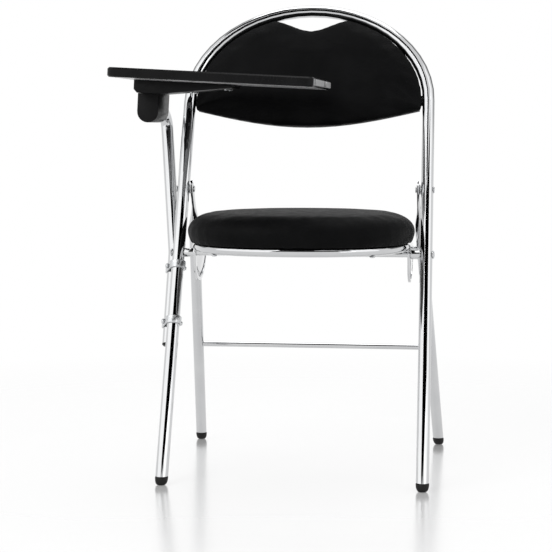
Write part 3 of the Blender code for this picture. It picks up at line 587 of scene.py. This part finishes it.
def clear_of_pan(pan, points, centre):
    """Move cover points off the pan, up and outwards alike, so the pocket keeps its corner."""
    flat, reach, rim = pan_rim(pan, points, centre)
    rim = rim + PAN_CLEAR
    top = pan[:, 2].max() + PAN_CLEAR
    inside = (points[:, 2] < top) & (reach < rim)
    move = np.where(inside, np.minimum(top - points[:, 2], rim - reach), 0.0)
    points[:, 2] += move
    points[:, :2] = centre[:2] + flat * (1.0 + move / np.maximum(reach, TINY))[:, None]
    return points


def hang_over_ring(pan, points, centre):
    """Let the cover's edge hang a little over the ring's shoulder, so no light shows between."""
    _, reach, rim = pan_rim(pan, points, centre)
    first, last = HANG_SPAN
    outside = np.clip((reach - rim - first) / (last - first), 0.0, 1.0)
    lower = np.clip(1.0 - (points[:, 2] - centre[2]) / RIM_KEPT, 0.0, 1.0)
    points[:, 2] -= HANG * outside * lower
    return points


def make_seat_cushion(frame, material):
    """The seat cushion: a crowned oval whose cover is drawn in under the rim."""
    low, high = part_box("seat_cushion")
    pan = points_of(frame["nodes"]["seat_pan"].data)
    piece = copy_welded(frame, "seat_cushion", "seat_cushion_cover")
    centre = np.array(((low.x + high.x) / 2, (low.y + high.y) / 2, low.z))
    points = centre + (points_of(piece.data) - centre) * np.array(SEAT_START)
    set_points(piece.data, points)
    remesh(piece)
    held = points_of(piece.data)[:, 2] < low.z + SEAT_HELD
    inflate(piece, held, SEAT_SWELL)
    relax(piece, SEAT_RELAX, points_of(piece.data)[:, 2] > low.z + RIM_KEPT)
    points = points_of(piece.data)
    rise = np.clip((points[:, 2] - low.z) / (high.z - low.z), 0.0, 1.0)
    points[:, 0] += (points[:, 0] - centre[0]) * SEAT_BULGE * np.sin(pi * rise)
    foot = points[:, 2] < low.z + RIM_KEPT / 2
    points[foot, 2] = low.z + FOOT_LIFT
    points[:, 2] = np.clip(points[:, 2], low.z, high.z + TOP_SPARE)
    set_points(piece.data, hang_over_ring(pan, points, centre))
    refine(piece)
    set_points(piece.data, clear_of_pan(pan, points_of(piece.data), centre))
    finish_pad(piece, "seat", "seat_cushion", material)


def make_back_pad(frame, material):
    """The back pad: a crowned panel that fills the arch below the hand gap."""
    piece = copy_welded(frame, "back_pad", "back_pad_cover")
    points = points_of(piece.data)
    normal = np.array((0.0, -np.cos(BACK_LEAN), np.sin(BACK_LEAN)))
    depth = points @ normal
    points = points - normal * ((depth - depth.min()) * BACK_FLATTEN)[:, None]
    flat = points - points.mean(axis=0)
    out = flat - np.outer(flat @ normal, normal)
    set_points(piece.data, points + out * BACK_WIDEN)
    remesh(piece)
    depth = points_of(piece.data) @ normal
    held = depth < depth.min() + BACK_HELD
    inflate(piece, held, BACK_SWELL)
    relax(piece, BACK_RELAX)
    refine(piece)
    finish_pad(piece, "front_frame", "back_pad", material)


def make_painted_lit_end(frame, material):
    """Two thin grey plates on the tablet's right end, with a dark break between them; their grey
    is painted light, standing in for the light that falls on that end face.
    """
    joint = next(joint for joint in frame["joints"] if joint["name"] == "tablet_lift")
    hinge = joint["pos_m"]
    low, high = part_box("tablet_board")
    tilt = Matrix.Translation((hinge[0], 0, hinge[2])) @ Matrix.Rotation(TABLET_SAG, 4, "Y")
    under = TABLET_UNDER + LIT_END_EDGE
    over = TABLET_UNDER + TABLET_THICK - LIT_END_EDGE
    inside = TABLET_REACH + LIT_END_OFF
    spans = ((low.y + LIT_END_CORNER, LIT_END_BREAK - LIT_END_GAP), (LIT_END_BREAK, high.y - LIT_END_CORNER))
    work = bmesh.new()
    for front, rear in spans:
        corners = []
        for step in range(LIT_END_STEPS + 1):
            share = step / LIT_END_STEPS
            nose = LIT_END_NOSE * (1 - sin(pi * step / LIT_END_STEPS))
            corners.append((front + nose, share))
        corners += [(rear, 1.0), (rear, 0.0)]
        inner = []
        outer = []
        for y, share in corners:
            height = under + (over - under) * share
            inner.append(work.verts.new(tilt @ Vector((inside, y, height))))
            outer.append(work.verts.new(tilt @ Vector((inside + LIT_END_THICK, y, height))))
        work.faces.new(inner)
        work.faces.new(outer[::-1])
        for index in range(len(inner)):
            after = (index + 1) % len(inner)
            work.faces.new((inner[index], outer[index], outer[after], inner[after]))
    bmesh.ops.recalc_face_normals(work, faces=work.faces)
    piece = link_mesh("tablet_painted_lit_end", mesh_from(work, "tablet_painted_lit_end"))
    rounded = piece.modifiers.new("edges", "BEVEL")
    rounded.width = LIT_END_ROUND
    rounded.segments = EDGE_SEGMENTS
    rounded.limit_method = "ANGLE"
    dress(piece, material)
    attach(piece, "tablet")


def add_card(name, points, faces, height=0.0):
    """A stage object from points and faces, at a height."""
    mesh = bpy.data.meshes.new(name)
    mesh.from_pydata(points, [], faces)
    card = link_mesh(name, mesh)
    card.location.z = height
    return card


def add_seen(tree, rays):
    """One for rays that see a surface, straight or in metal or glass, and zero for the rest."""
    seen = rays.outputs["Is Camera Ray"]
    for kind in ("Is Glossy Ray", "Is Transmission Ray"):
        seen = add_math(tree, "MAXIMUM", seen, rays.outputs[kind])
    return seen


def add_floor_share(tree, rays, away, near, far):
    """A share of the floor's shader: near the chair, fading to far, for the given rays only."""
    fade = add_range(tree, away, near, far, FLOOR_FADE)
    return add_math(tree, "MULTIPLY", rays, fade)


def mix_shaders(tree, share, first, second):
    """A shader that goes from the first to the second by a share."""
    mix = tree.nodes.new("ShaderNodeMixShader")
    tree.links.new(share, mix.inputs["Fac"])
    tree.links.new(first, mix.inputs[1])
    tree.links.new(second, mix.inputs[2])
    return mix.outputs["Shader"]


def make_floor():
    """A white floor: a polish that mirrors the legs, and a matt share that takes their shadow."""
    half = FLOOR_SIZE / 2
    corners = [(-half, -half, 0), (half, -half, 0), (half, half, 0), (-half, half, 0)]
    floor = add_card("floor", corners, [(0, 1, 2, 3)], FLOOR_HEIGHT)
    material, tree, matt, place = start_material("pale_floor")
    matt.inputs["Base Color"].default_value = FLOOR_COLOUR
    matt.inputs["Roughness"].default_value = MATT_ROUGHNESS
    matt.inputs["Specular IOR Level"].default_value = 0.0
    polish = tree.nodes.new("ShaderNodeBsdfGlossy")
    polish.inputs["Color"].default_value = WHITE
    polish.inputs["Roughness"].default_value = POLISH_ROUGHNESS
    glow = tree.nodes.new("ShaderNodeEmission")
    rays = tree.nodes.new("ShaderNodeLightPath")
    distance = tree.nodes.new("ShaderNodeVectorMath")
    distance.operation = "LENGTH"
    tree.links.new(place, distance.inputs[0])
    away = distance.outputs["Value"]
    polished = add_floor_share(tree, rays.outputs["Is Camera Ray"], away, FLOOR_POLISH, 0.0)
    glowing = add_floor_share(tree, add_seen(tree, rays), away, FLOOR_GLOW, 1.0)
    slant = tree.nodes.new("ShaderNodeLayerWeight")
    grazing = add_range(tree, slant.outputs["Facing"], 0.0, 1.0, FLOOR_GRAZING)
    plain = mix_shaders(tree, glowing, matt.outputs["BSDF"], glow.outputs["Emission"])
    shiny = add_math(tree, "MULTIPLY", polished, grazing)
    surface = mix_shaders(tree, shiny, plain, polish.outputs["BSDF"])
    tree.links.new(surface, tree.nodes["Material Output"].inputs["Surface"])
    dress(floor, material)


def add_patch(name, sides, heights):
    """A curved card: part of a sphere round the chair, by azimuth and elevation in degrees."""
    columns = np.radians(np.linspace(sides[0], sides[1], CARD_COLUMNS + 1))
    rows = np.radians(np.linspace(heights[0], heights[1], CARD_ROWS + 1))
    points = []
    for row in rows:
        level = CARD_REACH * cos(row)
        height = CARD_CENTRE + CARD_REACH * sin(row)
        for column in columns:
            points.append((level * sin(column), -level * cos(column), height))
    width = len(columns)
    faces = []
    for row in range(CARD_ROWS):
        for column in range(CARD_COLUMNS):
            first = row * width + column
            faces.append((first, first + 1, first + width + 1, first + width))
    return add_card(name, points, faces)


def make_cards():
    """White, grey and black studio cards that only reflections see."""
    for name, sides, heights, level in CARDS:
        card = add_patch(name, sides, heights)
        material = bpy.data.materials.new(name)
        material.use_nodes = True
        tree = material.node_tree
        tree.nodes.remove(tree.nodes["Principled BSDF"])
        glow = tree.nodes.new("ShaderNodeEmission")
        glow.inputs["Strength"].default_value = level
        tree.links.new(glow.outputs["Emission"], tree.nodes["Material Output"].inputs["Surface"])
        dress(card, material)
        card.visible_camera = False
        card.visible_diffuse = False
        card.visible_shadow = False
        card.visible_transmission = False


def make_light():
    """A white world for what is seen, a plainer one for what it lights, and soft lamps."""
    scene = bpy.context.scene
    scene.world = bpy.data.worlds.new("studio")
    scene.world.use_nodes = True
    tree = scene.world.node_tree
    ground = tree.nodes["Background"]
    ground.inputs["Color"].default_value = WHITE
    seen = add_seen(tree, tree.nodes.new("ShaderNodeLightPath"))
    level = add_range(tree, seen, WORLD_LEVEL, 1.0, (0.0, 1.0))
    tree.links.new(level, ground.inputs["Strength"])
    for name, watts, size, place in LAMPS:
        data = bpy.data.lights.new(name, "AREA")
        data.energy = watts
        data.size = size
        lamp = bpy.data.objects.new(name, data)
        lamp.location = place
        aim = Vector(LAMP_AIM) - Vector(place)
        lamp.rotation_euler = aim.to_track_quat("-Z", "Y").to_euler()
        scene.collection.objects.link(lamp)


def make_camera():
    """The photograph's point of view."""
    data = bpy.data.cameras.new("camera")
    data.sensor_width = SENSOR
    data.lens = CAMERA_LENS
    camera = bpy.data.objects.new("camera", data)
    camera.location = CAMERA_AT
    camera.rotation_euler = (pi / 2 - CAMERA_PITCH, 0.0, CAMERA_YAW)
    bpy.context.scene.collection.objects.link(camera)
    bpy.context.scene.camera = camera


for old in list(bpy.data.objects):
    bpy.data.objects.remove(old, do_unlink=True)
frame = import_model()
bpy.context.scene.view_settings.view_transform = "Standard"
rigid_materials = {
    "chrome": make_chrome(),
    "zinc": make_zinc(),
    "plastic": make_plastic(),
    "rubber": make_rubber(),
    "laminate": make_laminate(),
    "plywood": make_plywood(),
}
upholstery = make_upholstery()
dress_nodes(frame, rigid_materials)
make_seat_cushion(frame, upholstery)
make_back_pad(frame, upholstery)
make_painted_lit_end(frame, make_lit_end_grey())
make_floor()
make_cards()
make_light()
make_camera()
